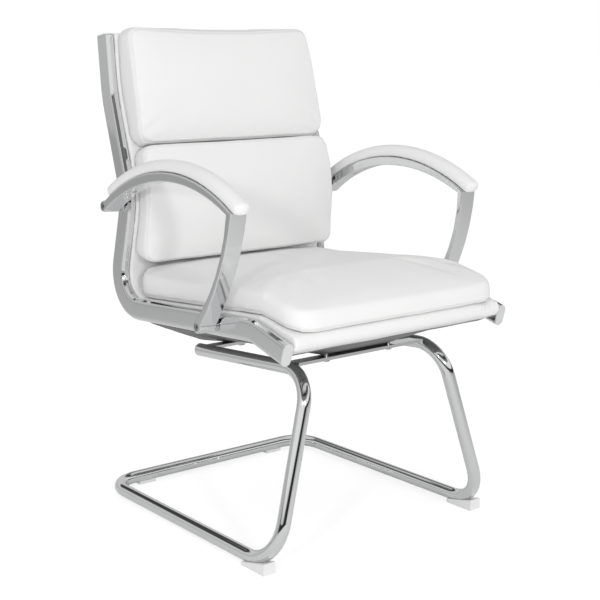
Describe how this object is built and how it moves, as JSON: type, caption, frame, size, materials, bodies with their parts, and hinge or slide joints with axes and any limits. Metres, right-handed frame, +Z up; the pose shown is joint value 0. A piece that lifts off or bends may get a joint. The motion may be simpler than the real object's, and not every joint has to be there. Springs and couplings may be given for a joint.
{
  "type": "sled base visitor chair",
  "caption": "Visitor armchair: cantilever sled base of bent round tube, flat oval side rails, upholstered shell with seat and back cushions, arched padded arms.",
  "frame": {"origin": "middle of the bounding box at floor level", "axes": "+Z up, -Y the way the sitter faces, +X to the right of the picture seen from the front"},
  "size_m": [0.6174, 0.6482, 0.9568],
  "materials": {
    "chrome": "mirror polish",
    "leather": "fine grained white, low sheen",
    "white_plastic": "satin",
    "grey_plastic": "satin",
    "steel": "bright zinc",
    "plywood": "moulded ply, hidden"
  },
  "bodies": {
    "root": {"sled_frame": "chrome", "base_plate_front": "chrome", "base_plate_rear": "chrome", "tube_plug_left": "grey_plastic", "tube_plug_right": "grey_plastic", "glide_front_left": "white_plastic", "glide_front_right": "white_plastic", "glide_rear_left": "white_plastic", "glide_rear_right": "white_plastic", "base_bolt_front_left": "steel", "base_bolt_front_right": "steel", "base_bolt_rear_left": "steel", "base_bolt_rear_right": "steel", "side_rail_left": "chrome", "side_rail_right": "chrome", "rail_cap_front_left": "grey_plastic", "rail_cap_front_right": "grey_plastic", "rail_cap_top_left": "grey_plastic", "rail_cap_top_right": "grey_plastic", "cross_strap_front": "steel", "cross_strap_rear": "steel", "moulded_shell": "plywood", "shell_cover_front": "leather", "shell_cover_rear": "leather", "seat_pan": "leather", "seat_cushion": "leather", "lower_back_cushion": "leather", "upper_back_cushion": "leather", "arm_left": "chrome", "arm_right": "chrome", "arm_pad_left": "leather", "arm_pad_right": "leather", "arm_spacer_front_left": "chrome", "arm_bolt_front_left": "steel", "pad_screw_front_left": "steel", "arm_spacer_front_right": "chrome", "arm_bolt_front_right": "steel", "pad_screw_front_right": "steel", "arm_spacer_rear_left": "chrome", "arm_bolt_rear_left": "steel", "pad_screw_rear_left": "steel", "arm_spacer_rear_right": "chrome", "arm_bolt_rear_right": "steel", "pad_screw_rear_right": "steel"}
  },
  "joints": []
}
